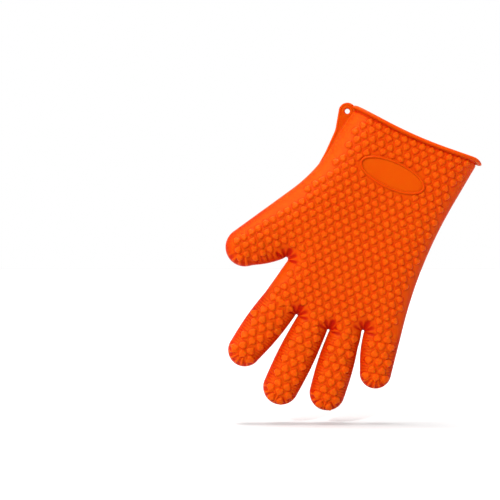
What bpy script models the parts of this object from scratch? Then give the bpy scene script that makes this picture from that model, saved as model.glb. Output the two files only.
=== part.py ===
"""Heat resistant silicone glove, hanging by its tab.

The glove is one soft moulding, drawn flat: x runs across the cuff towards the little finger, z runs
towards the cuff, and y is its thickness with the grip face at -y. Every size is in millimetres and is
turned into metres when a mesh is made. The whole drawing is then tilted about the hang hole, which
is the origin, to the angle at which the glove hangs.
"""
from math import asin, atan2, ceil, copysign, cos, hypot, pi, radians, sin, sqrt

import bmesh
import bpy
from mathutils import Vector

MM = 0.001
GAP = 0.3                      # left between neighbouring solids
WALL = 1.8                     # thickness of the silicone
HANG_TILT = radians(24.5)      # how far the cuff leans when the glove hangs by its tab

# The outline wraps these circles in turn, from the thumb side of the cuff to the other side:
# x, z and radius, which is negative where the outline curves inwards.
THUMB_SIDE = (-201.2, -24.2, -135.0)
THUMB_TIP = (-100.3, -155.3, 17.4)
THUMB_CROTCH = (-62.3, -150.6, -1.8)
INDEX_TIP = (-62.2, -239.2, 15.0)
INDEX_CROTCH = (-32.8, -192.4, -0.9)
MIDDLE_TIP = (-18.9, -256.0, 16.0)
MIDDLE_CROTCH = (-1.3, -192.7, -0.8)
RING_TIP = (21.0, -243.6, 15.8)
RING_CROTCH = (27.3, -180.7, -1.0)
LITTLE_TIP = (53.0, -209.5, 14.1)
LITTLE_SIDE = (465.6, -86.0, -414.0)

# The cuff and the hand, as sections across x: z, left x, right x, half thickness, bow of the ends.
CUFF_SECTIONS = (
    (-5.8, -62.1, 57.8, 16.9, 3.6),
    (-20.0, -63.9, 56.1, 16.4, 1.6),
    (-44.0, -67.4, 53.7, 15.6, 0.0),
    (-70.0, -75.2, 51.9, 14.8, 0.0),
)
WRIST_SECTIONS = (
    (-70.0, -75.2, 51.9, 14.8, 0.0),
    (-80.0, -78.9, 51.6, 14.6, 0.0),
    (-90.0, -82.8, 51.6, 14.4, 0.0),
)
HAND_SECTIONS = (
    (-90.0, -82.8, 51.6, 14.4, 0.0),
    (-104.0, -80.0, 51.9, 14.4, 0.0),
    (-126.0, -71.0, 53.0, 14.2, 0.0),
    (-150.0, -61.8, 56.0, 13.6, 0.0),
    (-166.0, -58.6, 58.6, 11.8, 0.0),
    (-177.0, -53.0, 53.0, 7.0, 0.0),
)
SQUARENESS = 2.5               # superellipse exponent of those sections
CUFF_SIDES = 28
STALL_SIDES = 16

# name: tip circle, circle before it, circle after it, crotches beside it, half thickness at the tip
# and at the root, length of the soft zone at the root and at the knuckle, knuckle centre as a share
# of the stall
STALLS = {
    "thumb": (THUMB_TIP, THUMB_SIDE, THUMB_CROTCH, (THUMB_CROTCH,), 11.0, 12.2, 12.0, 14.0, 0.48),
    "index": (INDEX_TIP, THUMB_CROTCH, INDEX_CROTCH, (INDEX_CROTCH,), 10.4, 11.0, 14.0, 16.0, 0.52),
    "middle": (MIDDLE_TIP, INDEX_CROTCH, MIDDLE_CROTCH, (INDEX_CROTCH, MIDDLE_CROTCH),
               10.6, 11.2, 14.0, 16.0, 0.50),
    "ring": (RING_TIP, MIDDLE_CROTCH, RING_CROTCH, (MIDDLE_CROTCH, RING_CROTCH),
             10.2, 10.8, 14.0, 16.0, 0.51),
    "little": (LITTLE_TIP, RING_CROTCH, LITTLE_SIDE, (RING_CROTCH,), 9.0, 9.6, 11.0, 13.0, 0.48),
}
STALL_SWELL = 1.2              # how much each side of a stall swells half way along
STALL_STATION = 12.0           # longest step between its sections
TIP_FULLNESS = 0.8             # below 1 the thickness closes later than the width over the tip
CAP_ANGLES = (0, 28, 52, 70, 82)
ROOT_OVERLAP = 26.0            # how far a stall's root reaches up inside the hand
THUMB_OVERLAP = 38.0
NECK_REACH = 6.0               # how far cutters run past the face that they open

RIM_HEIGHT = 3.6               # rolled bead round the mouth
RIM_OVERHANG = 2.0
RIM_FACETS = 8

HANG_HOLE = (-67.2, -6.4)
HOLE_RADIUS = 2.2
TAB_HEAD_RADIUS = 7.8
TAB_THICKNESS = 2.6
TAB_HEAD_ANGLES = (75, 200)    # the round part of the head, in degrees
TAB_EDGE = ((-70.4, -26.0), (-70.2, -46.0), (-72.2, -56.0), (-75.0, -66.0))    # its free edge
TAB_JOIN_Z = (-66.0, -44.0, -18.4, -4.2)    # heights at which it follows the cuff's side
TAB_STEP_Z = -2.8              # where it steps out round the rim

LABEL_CENTRE = (-8.0, -43.4)
LABEL_SEMI_AXES = (30.8, 12.5)
LABEL_FRAME_WIDTH = 1.8
LABEL_PANEL_Y = -16.3          # plain flat panel
LABEL_FRAME_Y = -17.0          # raised ring round it
LABEL_BACK_Y = -8.0            # inside the cuff, before its back is cut to the cuff's front

GLOVE_SPAN = (-130.0, 90.0)    # x range that holds the whole glove
CUTTER_HEIGHT = 60.0
CUTTER_DEPTH = 40.0

SILICONE = (0.87, 0.085, 0.004)
SOFT_SHADE = 0.7               # the bending zones are shown darker
TRIM_SHADE = 0.8
TAB_SHADE = 0.9


def clear_scene():
    for old in list(bpy.data.objects):
        bpy.data.objects.remove(old, do_unlink=True)


def silicone(name, shade):
    """Satin moulded silicone; shade darkens it a little so that neighbouring zones can be told apart."""
    material = bpy.data.materials.new(name)
    material.use_nodes = True
    shader = material.node_tree.nodes["Principled BSDF"]
    shader.inputs["Base Color"].default_value = (*[shade * c for c in SILICONE], 1.0)
    shader.inputs["Roughness"].default_value = 0.45
    shader.inputs["Metallic"].default_value = 0.0
    return material


def pivot(name, parent, point):
    """An empty at a point of the drawing, under the pivot that carries it."""
    empty = bpy.data.objects.new(name, None)
    bpy.context.scene.collection.objects.link(empty)
    empty["point"] = point
    if parent:
        empty.parent = parent
        start = parent["point"]
        empty.location = ((point[0] - start[0]) * MM, 0.0, (point[1] - start[1]) * MM)
    return empty


def finish_piece(piece, name, carrier, shade=1.0):
    """Name a solid, give it its material and hang it on the pivot of the body that it belongs to."""
    piece.name = name
    piece.data.name = name
    origin = carrier["point"]
    for vertex in piece.data.vertices:
        vertex.co -= Vector((origin[0] * MM, 0.0, origin[1] * MM))
    piece.data.materials.clear()
    piece.data.materials.append(silicone(name + "_silicone", shade))
    piece.data.shade_smooth()
    piece.data.set_sharp_from_angle(angle=radians(40))
    piece.parent = carrier


def new_piece(bm, name):
    bmesh.ops.recalc_face_normals(bm, faces=bm.faces)
    mesh = bpy.data.meshes.new(name)
    bm.to_mesh(mesh)
    bm.free()
    piece = bpy.data.objects.new(name, mesh)
    bpy.context.scene.collection.objects.link(piece)
    return piece


def combine(base, tool, operation):
    """Apply a Boolean of tool to base and drop the tool."""
    modifier = base.modifiers.new("combine", "BOOLEAN")
    modifier.operation = operation
    modifier.solver = "EXACT"
    modifier.object = tool
    bpy.context.view_layer.update()
    graph = bpy.context.evaluated_depsgraph_get()
    mesh = bpy.data.meshes.new_from_object(base.evaluated_get(graph))
    base.modifiers.remove(modifier)
    base.data = mesh
    bpy.data.objects.remove(tool, do_unlink=True)
    return base


def heading(a, b):
    """Direction of the outline's straight run from circle a to circle b."""
    return atan2(b[1] - a[1], b[0] - a[0]) + asin((a[2] - b[2]) / hypot(b[0] - a[0], b[1] - a[1]))


def superellipse(angle, exponent):
    c, s = cos(angle), sin(angle)
    return copysign(abs(c) ** (2 / exponent), c), copysign(abs(s) ** (2 / exponent), s)


def cross_ring(section, inset):
    """Points of one section of the cuff or the hand, drawn in by inset."""
    z, left, right, half_thickness, bow = section
    centre, half_width = (left + right) / 2, (right - left) / 2 - inset
    ring = []
    for step in range(CUFF_SIDES):
        across, deep = superellipse(2 * pi * step / CUFF_SIDES, SQUARENESS)
        ring.append((centre + half_width * across, (half_thickness - inset) * deep, z + bow * across ** 2))
    return ring


class Stall:
    """One finger: a tapered tube with a round tip, measured by a, the distance up from the tip centre."""

    def __init__(self, tip, before, after, crotches, tip_depth, root_depth, root_zone, knuckle_zone,
                 knuckle_share):
        down, up = heading(before, tip), heading(tip, after) + pi
        turn = down - up
        self.taper = atan2(sin(turn), cos(turn)) / 2
        middle = atan2(sin(down) + sin(up), cos(down) + cos(up))
        self.centre, self.radius = tip[:2], tip[2]
        self.direction = (cos(middle), sin(middle))
        self.root = min(self.rise(c) for c in crotches)
        self.depths = (tip_depth, root_depth)
        length = self.root + self.radius
        self.root_end = self.root - root_zone
        knuckle = self.root - knuckle_share * length
        self.knuckle_start, self.knuckle_end = knuckle + knuckle_zone / 2, knuckle - knuckle_zone / 2

    def rise(self, point):
        """Height of a point above the tip centre, along the stall."""
        return -sum((p - c) * d for p, c, d in zip(point, self.centre, self.direction))

    def at(self, a):
        return tuple(c - a * d for c, d in zip(self.centre, self.direction))

    def ring(self, a, inset):
        """Points of the section at height a, drawn in by inset."""
        tangent = -self.radius * sin(self.taper)
        radius = self.radius - inset
        if a >= tangent:
            width = (self.radius + a * sin(self.taper)) / cos(self.taper) - inset
            width += STALL_SWELL * sin(pi * min(max(a / self.root, 0.0), 1.0))
            closing = 1.0
        else:
            width = sqrt(max(radius ** 2 - a ** 2, 0.0))
            closing = width / radius
        share = min(max(a / self.root, 0.0), 1.0)
        depth = (self.depths[0] + share * (self.depths[1] - self.depths[0]) - inset) * closing ** TIP_FULLNESS
        x, z = self.at(a)
        ring = []
        for step in range(STALL_SIDES):
            angle = 2 * pi * step / STALL_SIDES
            ring.append((x - width * cos(angle) * self.direction[1], depth * sin(angle),
                         z + width * cos(angle) * self.direction[0]))
        return ring

    def rings(self, start, end, inset, stations):
        return [self.ring(start + (end - start) * k / (stations - 1), inset) for k in range(stations)]

    def cap_rings(self, start, inset):
        """Rings from start down to the round tip, ending in a small flat."""
        radius = self.radius - inset
        heights = [start] + [-radius * sin(radians(angle)) for angle in CAP_ANGLES]
        return [self.ring(a, inset) for a in heights]


def add_rings(bm, rings):
    return [[bm.verts.new([c * MM for c in point]) for point in ring] for ring in rings]


def bridge(bm, first, second):
    count = len(first)
    for k in range(count):
        bm.faces.new((first[k], first[(k + 1) % count], second[(k + 1) % count], second[k]))


def loft(rings, name="loft"):
    """A solid through a row of rings, with flat ends."""
    bm = bmesh.new()
    rows = add_rings(bm, rings)
    for first, second in zip(rows, rows[1:]):
        bridge(bm, first, second)
    bm.faces.new(rows[0])
    bm.faces.new(rows[-1])
    return new_piece(bm, name)


def sleeve(outer, inner, closed_tip=False, name="sleeve"):
    """A wall between an outer and an inner row of rings, open at its ends or closed at the last."""
    bm = bmesh.new()
    outside, inside = add_rings(bm, outer), add_rings(bm, inner)
    for rows in (outside, inside):
        for first, second in zip(rows, rows[1:]):
            bridge(bm, first, second)
    bridge(bm, outside[0], inside[0])
    if closed_tip:
        bm.faces.new(outside[-1])
        bm.faces.new(inside[-1])
    else:
        bridge(bm, outside[-1], inside[-1])
    return new_piece(bm, name)


def clipped(sections, top_gap, bottom_gap):
    """The sections with their first and last moved inwards by the gaps."""
    moved = [list(section) for section in sections]
    moved[0][0] -= top_gap
    moved[-1][0] += bottom_gap
    return moved


def cuff_sleeve(sections):
    return sleeve([cross_ring(s, 0.0) for s in sections], [cross_ring(s, WALL) for s in sections])


def hand_shell(stalls):
    """The hand, hollow, with open necks towards the wrist and each of the five stalls."""
    solids = []
    for inset, past in ((0.0, 0.0), (WALL, NECK_REACH)):
        sections = clipped(HAND_SECTIONS, -NECK_REACH, 0.0)
        sections[-1][0] += inset
        body = loft([cross_ring(s, inset) for s in sections])
        for name, stall in stalls.items():
            overlap = THUMB_OVERLAP if name == "thumb" else ROOT_OVERLAP
            neck = loft(stall.rings(stall.root + overlap, stall.root - past, inset, 3))
            combine(body, neck, "UNION")
        solids.append(body)
    shell = combine(*solids, "DIFFERENCE")
    top = HAND_SECTIONS[0][0] - GAP / 2
    left, right = GLOVE_SPAN
    above = [(left, top), (right, top), (right, top + CUTTER_HEIGHT), (left, top + CUTTER_HEIGHT)]
    return combine(shell, extrude_outline(above, -CUTTER_DEPTH, CUTTER_DEPTH), "DIFFERENCE")


def rim_bead():
    """The rolled bead round the mouth, lying on the top edge of the cuff."""
    top = CUFF_SECTIONS[0]
    centre, half_width = (top[1] + top[2]) / 2, (top[2] - top[1]) / 2
    bm = bmesh.new()
    rows = []
    for step in range(CUFF_SIDES):
        across, deep = superellipse(2 * pi * step / CUFF_SIDES, SQUARENESS)
        row = []
        for facet in range(RIM_FACETS):
            angle = 2 * pi * (facet + 0.5) / RIM_FACETS
            out = (RIM_OVERHANG - WALL) / 2 + (RIM_OVERHANG + WALL) / 2 * cos(angle)
            height = GAP + RIM_HEIGHT / 2 * (1 + sin(angle) / cos(pi / RIM_FACETS))
            row.append((centre + (half_width + out) * across, (top[3] + out) * deep,
                        top[0] + top[4] * across ** 2 + height))
        rows.append(row)
    rows = add_rings(bm, rows)
    for first, second in zip(rows, rows[1:] + rows[:1]):
        bridge(bm, first, second)
    return new_piece(bm, "rim")


def extrude_outline(points, back, front, name="plate"):
    """A plate with this outline in x and z, between two depths."""
    bm = bmesh.new()
    rows = add_rings(bm, [[(x, y, z) for x, z in points] for y in (back, front)])
    bridge(bm, *rows)
    bm.faces.new(rows[0])
    bm.faces.new(rows[1])
    return new_piece(bm, name)


def arc(centre, radii, start, end, steps):
    """Points round an ellipse from one angle to another, in degrees."""
    angles = [radians(start + (end - start) * k / steps) for k in range(steps + 1)]
    return [(centre[0] + radii[0] * cos(a), centre[1] + radii[1] * sin(a)) for a in angles]


def side_of_cuff(z):
    """x of the cuff's thumb-side edge at height z."""
    sections = CUFF_SECTIONS
    for upper, lower in zip(sections, sections[1:]):
        top, bottom = upper[0] + upper[4], lower[0] + lower[4]
        if z >= bottom or lower is sections[-1]:
            return upper[1] + (lower[1] - upper[1]) * (top - z) / (top - bottom)


def hang_tab():
    """The flat flange on the thumb side, with its round head and hole."""
    head = arc(HANG_HOLE, (TAB_HEAD_RADIUS,) * 2, *TAB_HEAD_ANGLES, 12)
    inner = [(side_of_cuff(z) - GAP, z) for z in TAB_JOIN_Z]
    inner.append((side_of_cuff(TAB_STEP_Z) - RIM_OVERHANG - 2 * GAP, TAB_STEP_Z))
    plate = extrude_outline(head + list(TAB_EDGE) + inner, -TAB_THICKNESS / 2, TAB_THICKNESS / 2)
    hole = extrude_outline(arc(HANG_HOLE, (HOLE_RADIUS,) * 2, 0, 345, 23), -TAB_THICKNESS, TAB_THICKNESS)
    return combine(plate, hole, "DIFFERENCE")


def label_piece(outer_inset, front, inner_inset=None):
    """An oval plate, or a ring, whose back follows the front of the cuff."""
    outline = arc(LABEL_CENTRE, [r - outer_inset for r in LABEL_SEMI_AXES], 0, 350, 35)
    plate = extrude_outline(outline, LABEL_BACK_Y, front)
    if inner_inset is not None:
        hole = arc(LABEL_CENTRE, [r - inner_inset for r in LABEL_SEMI_AXES], 0, 350, 35)
        cutter = extrude_outline(hole, LABEL_BACK_Y + NECK_REACH, front - NECK_REACH)
        combine(plate, cutter, "DIFFERENCE")
    bed = loft([cross_ring(section, -GAP) for section in CUFF_SECTIONS])
    return combine(plate, bed, "DIFFERENCE")


def build_cuff(cuff):
    finish_piece(cuff_sleeve(clipped(CUFF_SECTIONS, 0.0, GAP / 2)), "cuff_shell", cuff)
    finish_piece(rim_bead(), "rim_bead", cuff, TRIM_SHADE)
    finish_piece(hang_tab(), "hang_tab", cuff, TAB_SHADE)
    finish_piece(label_piece(LABEL_FRAME_WIDTH + GAP, LABEL_PANEL_Y), "label_panel", cuff)
    finish_piece(label_piece(0.0, LABEL_FRAME_Y, LABEL_FRAME_WIDTH), "label_frame", cuff, TRIM_SHADE)
    finish_piece(cuff_sleeve(clipped(WRIST_SECTIONS, GAP / 2, GAP / 2)), "wrist_flex", cuff, SOFT_SHADE)


def build_stall(name, stall, hand):
    """The soft root, the rigid first length, the soft knuckle and the closed tip of one finger."""
    root = pivot(name + "_root_pivot", hand, stall.at((stall.root + stall.root_end) / 2))
    knuckle = pivot(name + "_knuckle_pivot", root, stall.at((stall.knuckle_start + stall.knuckle_end) / 2))
    spans = (
        ("_root_flex", stall.root - GAP, stall.root_end, hand, SOFT_SHADE),
        ("_proximal", stall.root_end - GAP, stall.knuckle_start, root, 1.0),
        ("_knuckle_flex", stall.knuckle_start - GAP, stall.knuckle_end, root, SOFT_SHADE),
    )
    for suffix, start, end, carrier, shade in spans:
        stations = max(2, ceil((start - end) / STALL_STATION) + 1)
        walls = [stall.rings(start, end, inset, stations) for inset in (0.0, WALL)]
        finish_piece(sleeve(*walls), name + suffix, carrier, shade)
    walls = [stall.cap_rings(stall.knuckle_end - GAP, inset) for inset in (0.0, WALL)]
    finish_piece(sleeve(*walls, closed_tip=True), name + "_tip", knuckle)


def build():
    clear_scene()
    cuff = pivot("cuff_pivot", None, HANG_HOLE)
    cuff.rotation_euler = (0.0, HANG_TILT, 0.0)
    build_cuff(cuff)
    stalls = {name: Stall(*measures) for name, measures in STALLS.items()}
    wrist_z = (WRIST_SECTIONS[0][0] + WRIST_SECTIONS[-1][0]) / 2
    wrist_x = sum(WRIST_SECTIONS[1][1:3]) / 2
    hand = pivot("wrist_pivot", cuff, (wrist_x, wrist_z))
    shell = hand_shell(stalls)
    finish_piece(shell, "palm_shell", hand)
    for name, stall in stalls.items():
        build_stall(name, stall, hand)
    bpy.context.view_layer.update()


build()
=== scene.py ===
"""Looks of the heat resistant silicone glove.

The glove is drawn flat in millimetres, as in the CAD: x across the cuff towards the little finger, z
towards the cuff and y the thickness, grip face at -y. A skin is inflated between its outline and its
two faces, hearts, ribs and creases are raised on it, and it is then tilted as it hangs from its tab.
"""
from math import asin, atan2, ceil, cos, hypot, pi, radians, sin

import bpy
import numpy as np
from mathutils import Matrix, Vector


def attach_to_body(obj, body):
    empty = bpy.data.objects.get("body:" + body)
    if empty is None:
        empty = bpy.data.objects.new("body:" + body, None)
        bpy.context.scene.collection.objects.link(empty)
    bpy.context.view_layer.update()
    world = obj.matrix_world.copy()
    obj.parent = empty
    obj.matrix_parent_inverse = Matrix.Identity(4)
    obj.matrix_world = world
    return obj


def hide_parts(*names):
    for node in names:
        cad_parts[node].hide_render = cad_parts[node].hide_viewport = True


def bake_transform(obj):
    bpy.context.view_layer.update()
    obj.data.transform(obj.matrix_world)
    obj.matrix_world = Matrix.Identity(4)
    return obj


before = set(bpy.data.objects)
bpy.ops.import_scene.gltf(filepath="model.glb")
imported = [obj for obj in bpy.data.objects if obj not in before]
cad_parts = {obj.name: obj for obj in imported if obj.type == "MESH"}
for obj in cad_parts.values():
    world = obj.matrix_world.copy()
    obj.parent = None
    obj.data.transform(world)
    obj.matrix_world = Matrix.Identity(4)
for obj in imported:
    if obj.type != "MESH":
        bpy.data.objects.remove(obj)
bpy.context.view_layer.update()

MM = 0.001
HANG_TILT = radians(24.5)
HANG_HOLE = (-67.2, -6.4)

# The outline wraps these circles in turn, from the thumb side of the cuff to the other side:
# x, z and radius, which is negative where the outline curves inwards.
THUMB_EDGE = (-60.3, 12.0, 0.0)
THUMB_SIDE = (-201.2, -24.2, -135.0)
THUMB_TIP = (-100.3, -155.3, 17.4)
THUMB_CROTCH = (-62.3, -150.6, -1.8)
INDEX_TIP = (-62.2, -239.2, 15.0)
INDEX_CROTCH = (-32.8, -192.4, -0.9)
MIDDLE_TIP = (-18.9, -256.0, 16.0)
MIDDLE_CROTCH = (-1.3, -192.7, -0.8)
RING_TIP = (21.0, -243.6, 15.8)
RING_CROTCH = (27.3, -180.7, -1.0)
LITTLE_TIP = (53.0, -209.5, 14.1)
LITTLE_SIDE = (465.6, -86.0, -414.0)
LITTLE_EDGE = (59.6, 12.0, 0.0)
GLOVE_OUTLINE = (
    THUMB_EDGE, THUMB_SIDE, THUMB_TIP, THUMB_CROTCH, INDEX_TIP, INDEX_CROTCH, MIDDLE_TIP,
    MIDDLE_CROTCH, RING_TIP, RING_CROTCH, LITTLE_TIP, LITTLE_SIDE, LITTLE_EDGE,
)
TAB_END = (-71.5, -66.0, 0.0)
TAB_OUTLINE = ((-58.0, -5.0, 0.0), (*HANG_HOLE, 7.8), (-92.1, -29.0, -22.0), (-116.0, -46.0, -46.0), TAB_END)

# name: tip circle, circle before it, circle after it, crotches, half thickness at tip and at root,
# lengths of the CAD's soft bands at root and knuckle, knuckle centre as a share of the stall's length
STALLS = {
    "thumb": (THUMB_TIP, THUMB_SIDE, THUMB_CROTCH, (THUMB_CROTCH,), 11.0, 12.2, 12.0, 14.0, 0.48),
    "index": (INDEX_TIP, THUMB_CROTCH, INDEX_CROTCH, (INDEX_CROTCH,), 10.4, 11.0, 14.0, 16.0, 0.52),
    "middle": (MIDDLE_TIP, INDEX_CROTCH, MIDDLE_CROTCH, (INDEX_CROTCH, MIDDLE_CROTCH),
               10.6, 11.2, 14.0, 16.0, 0.50),
    "ring": (RING_TIP, MIDDLE_CROTCH, RING_CROTCH, (MIDDLE_CROTCH, RING_CROTCH),
             10.2, 10.8, 14.0, 16.0, 0.51),
    "little": (LITTLE_TIP, RING_CROTCH, LITTLE_SIDE, (RING_CROTCH,), 9.0, 9.6, 11.0, 13.0, 0.48),
}
CROTCHES = (THUMB_CROTCH, INDEX_CROTCH, MIDDLE_CROTCH, RING_CROTCH)
WRIST_TOP, WRIST_BOTTOM = -70.0, -90.0

# half thickness and edge rounding of the cuff and the hand at heights z
PROFILE_Z = (-200.0, -175.0, -150.0, -126.0, -90.0, -44.0, -20.0, 6.0)
HALF_THICKNESS = (10.8, 12.2, 13.6, 14.2, 14.4, 15.6, 16.4, 17.2)
EDGE_ROUNDING = (20.0, 22.0, 24.0, 25.0, 27.0, 29.0, 30.0, 31.0)
WEB_REACH = 34.0               # how far above its root a stall starts to thin the palm
THUMB_WEB_REACH = 42.0
CROWN = 0.07                   # share of the thickness that swells towards the middle
WALL = 1.8
TAB_ROOT = 1.3                 # how deep the tab reaches into the wall
TAB_HALF_THICKNESS = 1.15
TAB_ROUNDING = 0.9
TAB_BEAD, TAB_BOSS = 0.55, 0.5    # how far the free edge and the hole's border stand up on each side
HOLE_RADIUS = 2.2
SKIN_STEP = 0.55
LINING_STEP = 2.0
TAB_STEP = 0.4

RIM_Z = -5.3                   # height of the rolled rim
SKIN_TOP = -5.0                # where the skin and its lining end, within the rim
RIM_LOW_X = -8.0               # the mouth is lowest here and rises as a parabola to both sides
RIM_CURVE = 0.0014
RIM_CURL_X = 52.0              # beyond here its end curls down again
RIM_CURL = 0.05
RIM_FLARE = 0.6                # how much wider the bead is at that end
RIM_OFFSET = (0.2, 0.8)        # outwards and upwards from the skin's edge to the bead's middle
RIM_RADII = (2.35, 1.75)
RIM_NARROWING = 0.15           # how much narrower the bead is at its top and wider at its foot
RIM_POINTS, RIM_SIDES = 200, 20

FIRST_ROW = (-2.7, -9.8)       # centre of a heart in the first row
HEART_PITCH = (8.5, 6.25)
HEART_SIZE = 3.4               # before its corners are rounded
HEART_ROUNDING = 1.15
HEART_HEIGHT = 1.5
STALL_HEART_PITCH = (8.8, 7.1)
STALL_HEART_SIZE = 4.2
RIGID_LENGTH = 3.0             # of each stall between its bending bands, whose lengths follow from it
STALL_SWELL = 1.3              # how much the inner sides of a stall swell half way along
FOOT_PAINTED_SHADE = 0.26               # painted shade: how much the colour deepens at the foot of a heart, where shade falls round it
CREASE_PAINTED_SHADE = 0.45             # painted shade for each millimetre of crease
HAND_SIDE_PAINTED_SHADE, STALL_SIDE_PAINTED_SHADE = 0.22, 0.42    # and painted shade on the sides of the hand and of the stalls, near the outline
ROWS_BELOW = 80                # even, so that the tips of the first row's hearts point to the rim
EDGE_MARGIN = (5.0, 7.2)       # a heart's centre stays this far from the outline, by the thumb and elsewhere
UPPER_MARGIN = (10.0, 5.4)     # and from the thumb side's edge, at the cuff and at the thumb
CROTCH_MARGIN = 10.5           # and from a crotch
STALL_EDGE_MARGIN, STALL_CROTCH_MARGIN = 4.2, 7.5
RIB_PITCH, THUMB_RIB_PITCH = 2.5, 4.8
RIB_DEPTH, THUMB_RIB_DEPTH = 0.36, 0.65
SPOKE_ANGLE = radians(24.0)    # between the ribs that fan out over a tip
CREASES_PER_TURN = 9.0
RIM_GROOVE = 0.8               # depth of the groove under the rim
MOST_GROOVE = 1.3              # no crease is deeper, so that none reaches the lining
LABEL_CENTRE = (-8.0, -43.4)
LABEL_SEMI_AXES = (30.8, 12.5)
LABEL_INSET = 0.9              # from there to the middle of the ring
RING_RADIUS, RING_RISE = 1.1, 0.75
RING_POINTS, RING_SIDES = 160, 16
PANEL_RISE, PANEL_THICKNESS = 0.32, 1.2
PANEL_LOOPS = 14

# colours of the painted light and shade: deep red painted shade in the grooves and at the feet of the
# hearts, more orange painted light on the raised parts
GROOVE_PAINTED_SHADE_COLOUR = (0.38, 0.005, 0.0)
FOOT_PAINTED_SHADE_COLOUR = (0.47, 0.020, 0.0)
RAISED_PAINTED_LIGHT_COLOUR = (0.61, 0.074, 0.001)

# the stage, in metres of the world
VIEW_WIDTH = 0.4485
VIEW_CENTRE = (-0.0873, -0.1244)
FLOOR_Z = -0.280
FLOOR_REACH = 8.0
FLOOR_GREY = 0.56


def smooth(t):
    """Eased step from 0 to 1 as t goes from 0 to 1."""
    t = np.clip(t, 0.0, 1.0)
    return t * t * (3 - 2 * t)


def ramp(value, start, end):
    """0 up to start, 1 from end on, and smooth between; it falls if end is below start."""
    return smooth((value - start) / (end - start))


def between(start, end, share):
    """start where share is 0, end where it is 1."""
    return start + (end - start) * share


def heading(a, b):
    """Direction of the outline's straight run from circle a to circle b."""
    return atan2(b[1] - a[1], b[0] - a[0]) + asin((a[2] - b[2]) / hypot(b[0] - a[0], b[1] - a[1]))


def edge_point(circle, angle):
    """Point of a circle where a run in the direction angle touches it."""
    return circle[0] + circle[2] * sin(angle), circle[1] - circle[2] * cos(angle)


def outline_distance(circles, x, z):
    """Distance from points to the outline, positive inside it."""
    nearest = np.full(x.shape, 1e6)

    def keep(distance, valid):
        closer = valid & (np.abs(distance) < np.abs(nearest))
        nearest[closer] = distance[closer]

    headings = [heading(a, b) for a, b in zip(circles, circles[1:])]
    for a, b, angle in zip(circles, circles[1:], headings):
        start, end = edge_point(a, angle), edge_point(b, angle)
        length = hypot(end[0] - start[0], end[1] - start[1])
        dx, dz = x - start[0], z - start[1]
        along = dx * cos(angle) + dz * sin(angle)
        keep(dz * cos(angle) - dx * sin(angle), (along >= 0) & (along <= length))
    for circle, before, after in zip(circles[1:-1], headings, headings[1:]):
        radius = circle[2]
        turn = (after - before) % (2 * pi) if radius > 0 else -((before - after) % (2 * pi))
        start = before - pi / 2 if radius > 0 else before + pi / 2
        dx, dz = x - circle[0], z - circle[1]
        swept = (np.arctan2(dz, dx) - start) * (1 if radius > 0 else -1) % (2 * pi)
        keep(radius - np.hypot(dx, dz) * (1 if radius > 0 else -1), swept <= abs(turn) + 1e-6)
    return nearest


class Stall:
    """One finger: a tapered tube with a round tip, measured by a, the distance up from the tip centre."""

    def __init__(self, name, tip, before, after, crotches, tip_depth, root_depth, root_zone, knuckle_zone,
                 knuckle_share):
        down, up = heading(before, tip), heading(tip, after) + pi
        middle = atan2(sin(down) + sin(up), cos(down) + cos(up))
        self.name = name
        self.taper = atan2(sin(down - up), cos(down - up)) / 2
        self.centre, self.radius = tip[:2], tip[2]
        self.direction = (cos(middle), sin(middle))
        self.root = min(float(self.along(*c[:2])) for c in crotches)
        self.tip_depth, self.root_depth = tip_depth, root_depth
        self.outer_side = {"thumb": -1, "little": 1}.get(name, 0)
        knuckle = self.root - knuckle_share * (self.root + self.radius)
        root_end, knuckle_start = self.root - root_zone, knuckle + knuckle_zone / 2
        spare = (root_end - knuckle_start - RIGID_LENGTH) / 2
        self.zones = {
            "root": (self.root, root_end - spare),
            "knuckle": (knuckle_start + spare, knuckle - knuckle_zone / 2 - spare),
        }

    def along(self, x, z):
        """Height a of points above the tip centre."""
        return -(x - self.centre[0]) * self.direction[0] - (z - self.centre[1]) * self.direction[1]

    def across(self, x, z):
        """Sideways distance of points from the stall's axis."""
        return (z - self.centre[1]) * self.direction[0] - (x - self.centre[0]) * self.direction[1]

    def at(self, a, side=0.0):
        """Point at a height a and a sideways distance."""
        return (self.centre[0] - a * self.direction[0] - side * self.direction[1],
                self.centre[1] - a * self.direction[1] + side * self.direction[0])

    def width(self, a):
        """Half width at a height a."""
        return (self.radius + np.maximum(a, 0.0) * sin(self.taper)) / cos(self.taper)

    def depth(self, a):
        """Half thickness at a height a."""
        return between(self.tip_depth, self.root_depth, np.clip(a / self.root, 0.0, 1.0))

    def excess(self, x, z):
        """How far points lie outside the stall's sides; negative within them."""
        return np.abs(self.across(x, z)) - self.width(self.along(x, z))

    def swell(self, x, z):
        """How far the stall's sides swell out near points; an outer side stays straight."""
        share = np.sin(pi * np.clip(self.along(x, z) / self.root, 0.0, 1.0))
        share *= ramp(self.excess(x, z), 6.0, 1.0)
        if self.outer_side:
            share *= ramp(self.across(x, z) * self.outer_side, 4.0, -4.0)
        return STALL_SWELL * share


stalls = [Stall(name, *measures) for name, measures in STALLS.items()]


def rim_lift(x, z):
    """How far the bowed mouth lifts the drawing near it."""
    curl = RIM_CURL * np.maximum(x - RIM_CURL_X, 0.0) ** 2 * ramp(z, -14.0, RIM_Z)
    return RIM_CURVE * (x - RIM_LOW_X) ** 2 * ramp(z, -48.0, 0.0) - curl


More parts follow.
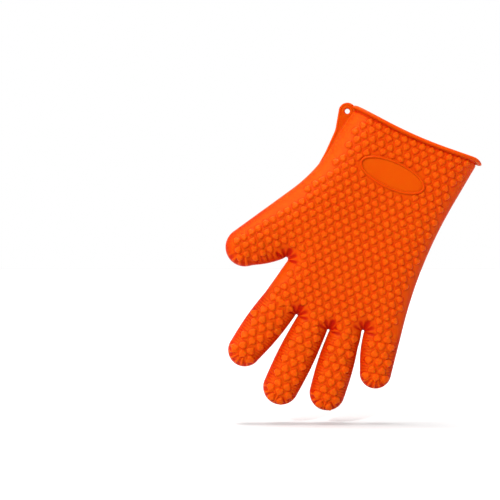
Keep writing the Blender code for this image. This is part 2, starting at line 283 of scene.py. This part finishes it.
def glove_shape(x, z):
    """Distance to the outline, half thickness and edge rounding of the glove."""
    distance = outline_distance(GLOVE_OUTLINE, x, z)
    distance += np.max([stall.swell(x, z) for stall in stalls], axis=0) * (distance > -8.0)
    depth = np.interp(z, PROFILE_Z, HALF_THICKNESS)
    rounding = np.interp(z, PROFILE_Z, EDGE_ROUNDING)
    for stall in stalls:
        a = stall.along(x, z)
        reach = THUMB_WEB_REACH if stall.name == "thumb" else WEB_REACH
        inside = 1 / (1 + np.exp(np.clip(stall.excess(x, z) / 1.6, -30, 30)))
        share = inside * ramp(a, stall.root + reach, stall.root - 2.0)
        depth += (stall.depth(a) - depth) * share
        rounding += (0.98 * stall.width(a) - rounding) * share
    depth *= 1 - CROWN * (1 - ramp(distance, 0.0, 48.0)) * ramp(z, -190.0, -150.0)
    return distance, depth, rounding


class Relief:
    """A body between two faces, as maps of its edge fall-off and half thickness over x and z.

    Its surface is cut off level at high[1], whatever the step is.
    """

    def __init__(self, shape, low, high, step, inset=0.0):
        self.step = step
        self.x = np.arange(low[0], high[0] + step, step)
        self.z = high[1] + step * np.arange(-ceil((high[1] - low[1]) / step), 2)
        self.low = (low[0], self.z[0])
        gx, gz = np.meshgrid(self.x, self.z, indexing="ij")
        distance, depth, rounding = shape(gx, gz)
        rounding = np.maximum(rounding - inset, 0.3)
        self.distance = distance
        self.fall = np.maximum(1 - (distance - inset) / rounding, 0.0)
        self.depth = depth - inset

    def sample(self, field, x, z):
        """Bilinear value of a map at points."""
        u = np.clip((x - self.low[0]) / self.step, 0, len(self.x) - 1.001)
        v = np.clip((z - self.low[1]) / self.step, 0, len(self.z) - 1.001)
        i, j = u.astype(int), v.astype(int)
        u, v = u - i, v - j
        return ((field[i, j] * (1 - u) + field[i + 1, j] * u) * (1 - v)
                + (field[i, j + 1] * (1 - u) + field[i + 1, j + 1] * u) * v)

    def value(self, p):
        """Below 0 inside the body; its zero is the surface."""
        fall = self.sample(self.fall, p[:, 0], p[:, 2])
        depth = self.sample(self.depth, p[:, 0], p[:, 2])
        return np.hypot(p[:, 1] / depth, fall) - 1

    def gradient(self, p):
        """Slope of the value at points, which points out of the body."""
        probe = 0.35 * self.step
        slopes = []
        for axis in range(3):
            shift = np.zeros(3)
            shift[axis] = probe
            slopes.append((self.value(p + shift) - self.value(p - shift)) / (2 * probe))
        return np.stack(slopes, axis=1)

    def surface(self):
        """Points and quads of the surface: a net through the cells that it crosses, drawn onto it."""
        top = float(self.depth.max()) + 2 * self.step
        y = np.arange(-top, top + self.step, self.step)
        value = np.hypot(y[None, :, None] / self.depth[:, None, :], self.fall[:, None, :])
        value = value.astype(np.float32) - 1
        shape = value.shape
        inside = value < 0
        strides = (shape[1] * shape[2], shape[2], 1)
        origin = (self.x[0], y[0], self.z[0])
        sums = np.zeros((value.size, 3))
        counts = np.zeros(value.size)
        crossings = []
        for axis in range(3):
            near = tuple(slice(0, -1) if k == axis else slice(1, -1) for k in range(3))
            far = tuple(slice(1, None) if k == axis else slice(1, -1) for k in range(3))
            crossed = np.nonzero(inside[near] != inside[far])
            index = [crossed[k] + (0 if k == axis else 1) for k in range(3)]
            start = index[0] * strides[0] + index[1] * strides[1] + index[2]
            a, b = value.ravel()[start], value.ravel()[start + strides[axis]]
            point = np.stack(index, axis=1).astype(float)
            point[:, axis] += a / (a - b)
            u, v = [strides[k] for k in range(3) if k != axis]
            cells = np.stack([start, start - u, start - u - v, start - v], axis=1)
            for corner in range(4):
                np.add.at(sums, cells[:, corner], point)
                np.add.at(counts, cells[:, corner], 1)
            crossings.append((cells, (a < 0) ^ (axis == 1)))
        used = np.nonzero(counts)[0]
        number = np.full(value.size, -1)
        number[used] = np.arange(len(used))
        points = sums[used] / counts[used, None] * self.step + np.array(origin)
        quads = []
        for cells, forward in crossings:
            faces = number[cells]
            faces[~forward] = faces[~forward][:, ::-1]
            quads.append(faces)
        for _ in range(4):
            slope = self.gradient(points)
            size = np.maximum((slope ** 2).sum(axis=1), 1e-9)
            move = slope * (self.value(points) / size)[:, None]
            points -= np.clip(move, -self.step, self.step)
        return points, np.concatenate(quads)


def unit(vectors):
    """The same directions with length 1."""
    return vectors / np.maximum(np.linalg.norm(vectors, axis=1), 1e-12)[:, None]


def point_normals(points, quads):
    """Area weighted normals of the points of a quad mesh."""
    a, b, c, d = (points[quads[:, k]] for k in range(4))
    face = np.cross(c - a, d - b)
    normals = np.zeros_like(points)
    for k in range(4):
        for axis in range(3):
            normals[:, axis] += np.bincount(quads[:, k], face[:, axis], len(points))
    return unit(normals)


def heart_distance(x, z, size):
    """Distance to a heart's edge, negative inside; its tip points to -z and it is centred on 0."""
    scale = size / 1.1
    x, z = np.abs(x) / scale, z / scale / 1.08 + 0.56
    lobe = np.hypot(x - 0.25, z - 0.75) - 0.3536
    diagonal = 0.5 * np.maximum(x + z, 0)
    side = np.minimum(np.hypot(x, z - 1), np.hypot(x - diagonal, z - diagonal)) * np.sign(x - z)
    return np.where(x + z > 1, lobe, side) * scale


def heart_rows(x, z, pitch, size, rise, allowed):
    """Height of staggered rows of hearts, tips down and up in turn, where allowed(x, z) of a centre.

    The second value is 1 at the foot of a heart and falls off to both sides; painted shade follows it.
    """
    height, foot = np.zeros_like(x), np.zeros_like(x)
    row = np.floor(z / pitch[1])
    for shift in (-1, 0, 1):
        level = row + shift
        odd = level % 2
        column = np.floor(x / pitch[0] - odd / 2) + 0.5 + odd / 2
        cx, cz = column * pitch[0], (level + 0.5) * pitch[1]
        flip = np.where(odd == 1, 1.0, -1.0)
        inward = HEART_ROUNDING - heart_distance(x - cx, (z - cz) * flip, size)
        kept = allowed(cx, cz)
        height = np.maximum(height, rise * ramp(inward, -0.2, 1.0) * kept)
        foot = np.maximum(foot, np.exp(-((inward + 0.35) / 0.65) ** 2) * kept)
    return height, foot


def label_level(x, z):
    """1 on the label's oval edge, less inside it."""
    return np.hypot((x - LABEL_CENTRE[0]) / LABEL_SEMI_AXES[0], (z - LABEL_CENTRE[1]) / LABEL_SEMI_AXES[1])


def hand_hearts(relief, x, z, front):
    """Height and foot of the hearts on the cuff and the hand; on the front they leave the oval clear."""
    def allowed(cx, cz):
        distance = relief.sample(relief.distance, cx, cz)
        upper = outline_distance((THUMB_EDGE, THUMB_SIDE, THUMB_TIP), cx, cz)
        fine = distance > between(*EDGE_MARGIN, ramp(cx, -75.0, -50.0))
        fine &= upper > between(*UPPER_MARGIN, ramp(cz, -60.0, -130.0))
        fine &= cz < FIRST_ROW[1] + 1.0
        for stall in stalls[1:]:
            held = (stall.along(cx, cz) < stall.root + 1.0) & (stall.excess(cx, cz) < 1.5)
            fine &= ~held
        for crotch in CROTCHES:
            fine &= np.hypot(cx - crotch[0], cz - crotch[1]) > CROTCH_MARGIN
        if front:
            fine &= label_level(cx, cz) > 1.04
        return fine

    shift_x = 0.5 * HEART_PITCH[0] - FIRST_ROW[0]
    shift_z = (ROWS_BELOW + 0.5) * HEART_PITCH[1] - FIRST_ROW[1]
    rows = heart_rows(x + shift_x, z + shift_z, HEART_PITCH, HEART_SIZE, HEART_HEIGHT,
                      lambda cx, cz: allowed(cx - shift_x, cz - shift_z))
    clear = ramp(label_level(x, z), 1.0, 1.05) if front else 1.0
    return [part * clear for part in rows]


def stall_hearts(relief, stall, x, z):
    """Height and foot of the hearts along a stall."""
    def allowed(side, a):
        cx, cz = stall.at(a, side)
        fine = (relief.sample(relief.distance, cx, cz) > STALL_EDGE_MARGIN) & (a < stall.root + 1.0)
        for crotch in CROTCHES:
            fine &= np.hypot(cx - crotch[0], cz - crotch[1]) > STALL_CROTCH_MARGIN
        return fine

    a, side = stall.along(x, z), stall.across(x, z)
    rows = heart_rows(side, a, STALL_HEART_PITCH, STALL_HEART_SIZE, HEART_HEIGHT, allowed)
    within = (stall.excess(x, z) < STALL_SWELL) * (a < stall.root + 6)
    return [part * within for part in rows]


def stall_ribs(stall, x, z, distance):
    """Fine ribs across the sides of a stall, and ribs that fan out over its tip."""
    a, side = stall.along(x, z), stall.across(x, z)
    held = (stall.excess(x, z) < STALL_SWELL + 0.5) & (a < stall.root)
    sides = ramp(a, -2.0, 5.0) * ramp(a, stall.root + 1.0, stall.root - 5.0)
    sides = sides * ramp(distance, 8.6, 6.4) * ramp(distance, 0.4, 3.0)
    fan = ramp(a, 2.0, -4.0) * ramp(np.hypot(a, side), stall.radius - 9.5, stall.radius - 7.0)
    pitch, depth = RIB_PITCH, RIB_DEPTH
    if stall.name == "thumb":
        # its outer side is plain
        pitch, depth = THUMB_RIB_PITCH, THUMB_RIB_DEPTH
        sides = sides * (side > 0)
        fan = fan * ramp(side, -2.0, 3.0)
    ribs = -depth * sides * ramp(np.cos(2 * pi * a / pitch), -0.2, 1.0)
    spokes = np.cos(np.arctan2(side, -a) * 2 * pi / SPOKE_ANGLE)
    ribs += fan * (ramp(spokes, -0.1, 0.9) - 0.3) * ramp(distance, 0.0, 2.0)
    return ribs * held


def crotch_creases(x, z):
    """Fans of grooves above the crotches, where the moulding is gathered."""
    depth = np.zeros_like(x)
    for crotch in CROTCHES:
        dx, dz = x - crotch[0], z - crotch[1]
        radius, angle = np.hypot(dx, dz), np.arctan2(dx, dz)
        window = ramp(radius, 1.5, 4.0) * ramp(radius, 12.5, 7.0) * ramp(np.abs(angle), 1.9, 1.3)
        depth += window * (0.5 + 0.5 * np.cos(angle * CREASES_PER_TURN))
        middle = np.exp(-(dx / (1.2 + 0.16 * np.abs(dz))) ** 2)
        depth += 1.1 * middle * ramp(dz, -1.0, 2.0) * ramp(dz, 13.0, 7.0)
    return -MOST_GROOVE * np.tanh(depth / MOST_GROOVE)


def relief_height(relief, points):
    """Height of all the moulded detail at points of the skin, and the painted light and shade of its colour:
    1, painted light, on top, -1, painted shade, in the grooves; the feet of the hearts, the creases and the
    sides are painted darker too.
    """
    x, z = points[:, 0], points[:, 2]
    distance = relief.sample(relief.distance, x, z)
    front = points[:, 1] < 0
    height, foot = (np.where(front, *pair) for pair in zip(hand_hearts(relief, x, z, True),
                                                           hand_hearts(relief, x, z, False)))
    for stall in stalls[1:]:
        rows = stall_hearts(relief, stall, x, z)
        height, foot = np.maximum(height, rows[0]), np.maximum(foot, rows[1])
    bare = ramp(height, 0.5, 0.1)
    on_stall = np.zeros_like(x)
    for stall in stalls:
        height = height + stall_ribs(stall, x, z, distance) * bare
        held = stall.excess(x, z) < 2.0
        on_stall = np.maximum(on_stall, held * ramp(stall.along(x, z), stall.root + 14.0, stall.root - 6.0))
    height -= RIM_GROOVE * np.exp(-((z - RIM_Z + 1.9) / 0.9) ** 2)
    creases = crotch_creases(x, z)
    height += creases
    # painted shade: the colour darkens at the feet of the hearts, in the creases and on the sides near the
    # outline
    side_painted_shade = between(HAND_SIDE_PAINTED_SHADE, STALL_SIDE_PAINTED_SHADE, on_stall)
    painted_darkening = FOOT_PAINTED_SHADE * foot + side_painted_shade * ramp(distance, 6.5, 0.5) - CREASE_PAINTED_SHADE * creases
    return height, np.clip(height / HEART_HEIGHT - painted_darkening, -1.0, 1.0)


def tilted(vectors):
    """Directions of the drawing as they hang."""
    x, y, z = vectors.T
    across = x * cos(HANG_TILT) + z * sin(HANG_TILT)
    up = z * cos(HANG_TILT) - x * sin(HANG_TILT)
    return np.stack([across, y, up], axis=1)


def to_world(points):
    """Points of the drawing, in millimetres, as they hang, in metres."""
    return tilted(points - np.array([HANG_HOLE[0], 0.0, HANG_HOLE[1]])) * MM


def world_point(x, z):
    """A point of the drawing's middle plane as it hangs."""
    return Vector(to_world(np.array([[x, 0.0, z]]))[0])


def mesh_piece(name, points, faces, material, normals=None, tint=None):
    """A mesh object from world points and faces, with its normals taken from the whole skin if given, and
    its painted light and shade as a point attribute if given.
    """
    mesh = bpy.data.meshes.new(name)
    mesh.from_pydata(points.tolist(), [], [list(map(int, face)) for face in faces])
    mesh.materials.append(material)
    mesh.shade_smooth()
    if tint is not None:
        mesh.attributes.new("tint", "FLOAT", "POINT").data.foreach_set("value", tint.astype(np.float32))
    if normals is not None:
        mesh.normals_split_custom_set_from_vertices(normals.tolist())
    piece = bpy.data.objects.new(name, mesh)
    bpy.context.scene.collection.objects.link(piece)
    return piece


def silicone(name, plain, roughness=0.5, grain=0.25):
    """Satin, slightly translucent silicone, with painted shade, redder, in its grooves and painted light,
    more orange, on its raised parts.
    """
    material = bpy.data.materials.new(name)
    material.use_nodes = True
    nodes, links = material.node_tree.nodes, material.node_tree.links
    shader = nodes["Principled BSDF"]
    shader.inputs["Roughness"].default_value = roughness
    shader.inputs["Specular IOR Level"].default_value = 0.09
    shader.inputs["Specular Tint"].default_value = (1.0, 0.55, 0.3, 1.0)
    shader.inputs["Subsurface Weight"].default_value = 0.45
    shader.inputs["Subsurface Radius"].default_value = (1.0, 0.08, 0.02)
    shader.inputs["Subsurface Scale"].default_value = 0.005
    place = nodes.new("ShaderNodeTexCoord")
    cloud = nodes.new("ShaderNodeTexNoise")
    cloud.inputs["Scale"].default_value = 28.0
    cloud.inputs["Detail"].default_value = 3.0
    links.new(place.outputs["Object"], cloud.inputs["Vector"])
    haze = nodes.new("ShaderNodeMapRange")
    haze.inputs["To Min"].default_value = 0.44
    haze.inputs["To Max"].default_value = 0.56
    links.new(cloud.outputs["Fac"], haze.inputs["Value"])
    # the painted light and shade, read from the skin's points, picks the colour along the ramp
    tint = nodes.new("ShaderNodeAttribute")
    tint.attribute_name = "tint"
    level = nodes.new("ShaderNodeMath")
    level.operation = "MULTIPLY_ADD"
    level.inputs[1].default_value = 0.5
    links.new(tint.outputs["Fac"], level.inputs[0])
    links.new(haze.outputs["Result"], level.inputs[2])
    tones = nodes.new("ShaderNodeValToRGB")
    stops = tones.color_ramp.elements
    stops[0].position, stops[0].color = 0.0, (*GROOVE_PAINTED_SHADE_COLOUR, 1.0)
    stops[1].position, stops[1].color = 1.0, (*RAISED_PAINTED_LIGHT_COLOUR, 1.0)
    for position, colour in ((0.26, FOOT_PAINTED_SHADE_COLOUR), (0.5, plain)):
        stops.new(position).color = (*colour, 1.0)
    links.new(level.outputs["Value"], tones.inputs["Fac"])
    links.new(tones.outputs["Color"], shader.inputs["Base Color"])
    fine = nodes.new("ShaderNodeTexNoise")
    fine.inputs["Scale"].default_value = 2600.0
    fine.inputs["Detail"].default_value = 2.0
    links.new(place.outputs["Object"], fine.inputs["Vector"])
    bump = nodes.new("ShaderNodeBump")
    bump.inputs["Strength"].default_value = grain
    bump.inputs["Distance"].default_value = 0.00012
    links.new(fine.outputs["Fac"], bump.inputs["Height"])
    links.new(bump.outputs["Normal"], shader.inputs["Normal"])
    return material


def zone_of(points):
    """Zone of each point of the drawing: a name for each rigid stretch and each bending one."""
    x, z = points[:, 0], points[:, 2]
    names = np.full(len(points), "palm", dtype=object)
    names[z > WRIST_BOTTOM] = "wrist*"
    names[z >= WRIST_TOP] = "cuff"
    for stall in stalls:
        a = stall.along(x, z)
        others = np.min([s.excess(x, z) for s in stalls if s is not stall], axis=0)
        held = (a < stall.root) & (stall.excess(x, z) < 1.5) & (stall.excess(x, z) < others)
        names[held] = stall.name + "_root*"
        names[held & (a <= stall.zones["root"][1])] = stall.name + "_base"
        names[held & (a < stall.zones["knuckle"][0])] = stall.name + "_knuckle*"
        names[held & (a <= stall.zones["knuckle"][1])] = stall.name + "_end"
    return names


def face_zones(points, quads):
    """Zone of each quad: a bending zone, marked by *, takes every quad that it touches."""
    corner = zone_of(points)[quads]
    zone = corner[:, 0].copy()
    for k in range(4):
        bending = np.array([name.endswith("*") for name in corner[:, k]])
        zone[bending] = corner[bending, k]
    return zone


def attach(piece, zone):
    """Ride a rigid zone on its body; a bending zone is only baked into the world where it is, and the ends
    of its band are found but not used.
    """
    if zone == "wrist*":
        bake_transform(piece)
    elif zone.endswith("*"):
        finger, part = zone[:-1].split("_")
        stall = next(stall for stall in stalls if stall.name == finger)
        start, end = (world_point(*stall.at(a)) for a in stall.zones[part])
        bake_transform(piece)
    else:
        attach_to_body(piece, zone)


CAD_OF_ZONE = {"cuff": "cuff_shell", "wrist*": "wrist_flex", "palm": "palm_shell"}
for stall in stalls:
    CAD_OF_ZONE[stall.name + "_root*"] = stall.name + "_root_flex"
    CAD_OF_ZONE[stall.name + "_base"] = stall.name + "_proximal"
    CAD_OF_ZONE[stall.name + "_knuckle*"] = stall.name + "_knuckle_flex"
    CAD_OF_ZONE[stall.name + "_end"] = stall.name + "_tip"


def level_shape(x, z):
    """The glove's shape with its bowed mouth pulled level."""
    return glove_shape(x, z + rim_lift(x, z))


def build_skin(material):
    """The moulded skin and the plain wall inside it, one piece for each zone."""
    low, high = (-124.0, -276.0), (74.0, SKIN_TOP)
    outer = Relief(level_shape, low, high, SKIN_STEP)
    points, quads = outer.surface()
    normals = unit(outer.gradient(points))
    height, tint = relief_height(outer, points)
    points = points + normals * height[:, None]
    inner = Relief(level_shape, low, high, LINING_STEP, WALL)
    lining, lining_quads = inner.surface()
    lining_quads = lining_quads[:, ::-1] + len(points)
    zones = np.concatenate([face_zones(points, quads), face_zones(lining, lining_quads - len(points))])
    everything = np.concatenate([points, lining])
    everything[:, 2] += rim_lift(everything[:, 0], everything[:, 2])
    all_quads = np.concatenate([quads, lining_quads])
    normals = point_normals(everything, all_quads)
    tint = np.concatenate([tint, np.zeros(len(lining))])
    world = to_world(everything)
    turned = tilted(normals)
    for zone, node in CAD_OF_ZONE.items():
        chosen = all_quads[zones == zone]
        used, faces = np.unique(chosen, return_inverse=True)
        faces = faces.reshape(-1, 4)
        piece = mesh_piece(node + "_skin", world[used], faces, material, turned[used], tint[used])
        attach(piece, zone)
        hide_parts(node)
    return outer


def swept(name, spine, outward, upward, profile, material):
    """A closed bead: a profile of (out, up) steps carried round a closed spine of drawing points."""
    count, sides = len(spine), len(profile)
    rings = [spine + outward * out + np.array(upward) * rise for out, rise in profile]
    points = np.stack(rings, axis=1).reshape(-1, 3)
    faces = []
    for k in range(count):
        here, after = k * sides, (k + 1) % count * sides
        for side in range(sides):
            following = (side + 1) % sides
            faces.append((here + side, here + following, after + following, after + side))
    return mesh_piece(name, to_world(points), faces, material)


def build_rim(outer, material):
    """The rolled rim: a bead with a lip over the skin, on the bowed edge of the mouth."""
    distance, depth, rounding = glove_shape(outer.x, RIM_Z + rim_lift(outer.x, RIM_Z))
    inside = distance > 0
    left = outer.x[inside][0] - distance[inside][0]
    right = outer.x[inside][-1] + distance[inside][-1]
    angle = 2 * pi * np.arange(RIM_POINTS) / RIM_POINTS
    x = (left + right) / 2 + (right - left) / 2 * np.cos(angle)
    fall = np.clip(1 - np.interp(x, outer.x, distance) / np.interp(x, outer.x, rounding), 0.0, 1.0)
    y = np.sign(np.sin(angle)) * np.interp(x, outer.x, depth) * np.sqrt(1 - fall ** 2)
    spine = np.stack([x, y, RIM_Z + rim_lift(x, RIM_Z)], axis=1)
    spine = even_spacing(spine, RIM_POINTS)
    along = np.roll(spine, -1, axis=0) - np.roll(spine, 1, axis=0)
    outward = unit(np.stack([along[:, 1], -along[:, 0], np.zeros(RIM_POINTS)], axis=1))
    outward *= 1 + RIM_FLARE * ramp(spine[:, :1], 50.0, 60.0)
    profile = [(RIM_OFFSET[0] + RIM_RADII[0] * cos(t) * (1 - RIM_NARROWING * sin(t)),
                RIM_OFFSET[1] + RIM_RADII[1] * sin(t))
               for t in np.linspace(0, 2 * pi, RIM_SIDES, endpoint=False)]
    piece = swept("rim_bead_roll", spine, outward, (0.0, 0.0, 1.0), profile, material)
    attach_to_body(piece, "cuff")
    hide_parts("rim_bead")


def even_spacing(loop, count):
    """The same closed loop with its points evenly spaced."""
    closed = np.concatenate([loop, loop[:1]])
    length = np.concatenate([[0.0], np.cumsum(np.linalg.norm(np.diff(closed, axis=0), axis=1))])
    at = np.linspace(0.0, length[-1], count, endpoint=False)
    return np.stack([np.interp(at, length, closed[:, axis]) for axis in range(3)], axis=1)


def tab_shape(x, z):
    """The hang tab: a thin flange with a bead along its free edge and a boss round its hole."""
    edge = outline_distance(TAB_OUTLINE, x, z)
    edge = np.minimum(edge, TAB_ROOT - outline_distance(GLOVE_OUTLINE, x, z + rim_lift(x, z)))
    edge = np.minimum(edge, z - TAB_END[1] - 1.0)
    hole = np.hypot(x - HANG_HOLE[0], z - HANG_HOLE[1])
    distance = np.minimum(edge, hole - HOLE_RADIUS)
    depth = TAB_HALF_THICKNESS + TAB_BEAD * np.exp(-((edge - 1.1) / 0.8) ** 2)
    depth += TAB_BOSS * np.exp(-((hole - HOLE_RADIUS - 1.4) / 0.8) ** 2)
    return distance, depth, np.full(x.shape, TAB_ROUNDING)


def build_tab(material):
    """The flange with the hang hole, on the thumb side of the cuff."""
    low, high = (-78.0, -77.0), (-52.0, 4.0)
    tab = Relief(tab_shape, low, high, TAB_STEP)
    points, quads = tab.surface()
    piece = mesh_piece("hang_tab_flange", to_world(points), quads, material)
    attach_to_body(piece, "cuff")
    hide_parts("hang_tab")


def front_height(outer, x, z):
    """How far the front of the cuff stands out at points of the drawing."""
    fall = outer.sample(outer.fall, x, z)
    return outer.sample(outer.depth, x, z) * np.sqrt(np.clip(1 - fall ** 2, 0.0, 1.0))


def build_label(outer, ring_material, panel_material):
    """The raised oval ring and the plain panel inside it."""
    count = RING_POINTS
    angle = 2 * pi * np.arange(count) / count
    semi = np.array(LABEL_SEMI_AXES) - LABEL_INSET
    x, z = LABEL_CENTRE[0] + semi[0] * np.cos(angle), LABEL_CENTRE[1] + semi[1] * np.sin(angle)
    spine = np.stack([x, -front_height(outer, x, z), z], axis=1)
    outward = unit(np.stack([np.cos(angle) / semi[0], np.zeros(count), np.sin(angle) / semi[1]], axis=1))
    profile = [(RING_RADIUS * cos(t), RING_RISE + RING_RADIUS * sin(t))
               for t in np.linspace(0, 2 * pi, RING_SIDES, endpoint=False)]
    ring = swept("label_frame_ring", spine, outward, (0.0, -1.0, 0.0), profile, ring_material)
    points = [[LABEL_CENTRE[0], 0.0, LABEL_CENTRE[1]]]
    for loop in range(1, PANEL_LOOPS + 1):
        reach_x, reach_z = semi * loop / PANEL_LOOPS
        points += [[LABEL_CENTRE[0] + reach_x * cos(t), 0.0, LABEL_CENTRE[1] + reach_z * sin(t)]
                   for t in angle]
    points = np.array(points)
    share = label_level(points[:, 0], points[:, 2])
    points[:, 1] = -front_height(outer, points[:, 0], points[:, 2]) - PANEL_RISE * ramp(share, 0.99, 0.9)
    back = points.copy()
    back[:, 1] += PANEL_THICKNESS
    faces = []
    for side, base in ((1, 0), (-1, len(points))):
        for k in range(count):
            after = (k + 1) % count
            faces.append([base, base + 1 + k, base + 1 + after][::side])
            for loop in range(PANEL_LOOPS - 1):
                inner, outside = base + 1 + loop * count, base + 1 + (loop + 1) * count
                faces.append([inner + k, outside + k, outside + after, inner + after][::side])
    edge = 1 + (PANEL_LOOPS - 1) * count
    for k in range(count):
        here, after = edge + k, edge + (k + 1) % count
        faces.append([here, len(points) + here, len(points) + after, after])
    panel = mesh_piece("label_panel_plate", to_world(np.concatenate([points, back])), faces, panel_material)
    for piece, node in ((ring, "label_frame"), (panel, "label_panel")):
        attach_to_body(piece, "cuff")
        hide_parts(node)


def build_camera():
    """Straight on to the grip face, with the glove at the right of the view."""
    camera = bpy.data.cameras.new("camera")
    camera.lens, camera.sensor_width = 85.0, 36.0
    holder = bpy.data.objects.new("camera", camera)
    centre_x, centre_z = VIEW_CENTRE
    holder.location = (centre_x, -VIEW_WIDTH * camera.lens / camera.sensor_width, centre_z)
    holder.rotation_euler = (radians(90), 0.0, 0.0)
    bpy.context.scene.collection.objects.link(holder)
    bpy.context.scene.camera = holder


def sun_light(name, towards, strength, angle):
    """A soft sun; towards points from the glove to it."""
    lamp = bpy.data.lights.new(name, "SUN")
    lamp.energy, lamp.angle = strength, radians(angle)
    holder = bpy.data.objects.new(name, lamp)
    holder.rotation_euler = (-Vector(towards)).to_track_quat("-Z", "Y").to_euler()
    bpy.context.scene.collection.objects.link(holder)


def build_stage():
    """A plain pale floor in a white surround, dimmer on one side, with light from the upper left."""
    paint = bpy.data.materials.new("floor_pale")
    paint.use_nodes = True
    shader = paint.node_tree.nodes["Principled BSDF"]
    shader.inputs["Base Color"].default_value = (FLOOR_GREY, FLOOR_GREY, FLOOR_GREY, 1.0)
    shader.inputs["Roughness"].default_value = 0.9
    shader.inputs["Specular IOR Level"].default_value = 0.0
    mesh = bpy.data.meshes.new("floor")
    corners = [(x * FLOOR_REACH, y * FLOOR_REACH, FLOOR_Z) for x, y in ((-1, -1), (1, -1), (1, 1), (-1, 1))]
    mesh.from_pydata(corners, [], [(0, 1, 2, 3)])
    mesh.materials.append(paint)
    floor = bpy.data.objects.new("floor", mesh)
    bpy.context.scene.collection.objects.link(floor)

    world = bpy.data.worlds.new("white_surround")
    world.use_nodes = True
    surround = world.node_tree.nodes["Background"]
    surround.inputs["Color"].default_value = (1.0, 1.0, 1.0, 1.0)
    nodes, links = world.node_tree.nodes, world.node_tree.links
    direction = nodes.new("ShaderNodeTexCoord")
    towards = nodes.new("ShaderNodeVectorMath")
    towards.operation = "DOT_PRODUCT"
    towards.inputs[1].default_value = (0.5, -0.87, 0.0)
    links.new(direction.outputs["Generated"], towards.inputs[0])
    dimming = nodes.new("ShaderNodeMapRange")
    dimming.inputs["From Min"].default_value = -0.3
    dimming.inputs["From Max"].default_value = 0.6
    dimming.inputs["To Min"].default_value = 1.0
    dimming.inputs["To Max"].default_value = 0.36
    links.new(towards.outputs["Value"], dimming.inputs["Value"])
    links.new(dimming.outputs["Result"], surround.inputs["Strength"])
    bpy.context.scene.world = world
    sun_light("overhead_light", (-0.05, 0.03, 1.0), 3.6, 20.0)
    sun_light("key_light", (-0.58, -0.88, 0.68), 3.15, 11.0)
    bpy.context.scene.view_settings.view_transform = "Standard"


def build():
    build_camera()
    skin = silicone("silicone_skin", (0.585, 0.059, 0.0))
    rim = silicone("silicone_rim", (0.55, 0.052, 0.0), 0.46)
    tab = silicone("silicone_tab", (0.54, 0.052, 0.0), 0.46)
    label = silicone("silicone_label", (0.605, 0.067, 0.0), 0.46, 0.15)
    outer = build_skin(skin)
    build_rim(outer, rim)
    build_tab(tab)
    build_label(outer, rim, label)
    build_stage()


build()
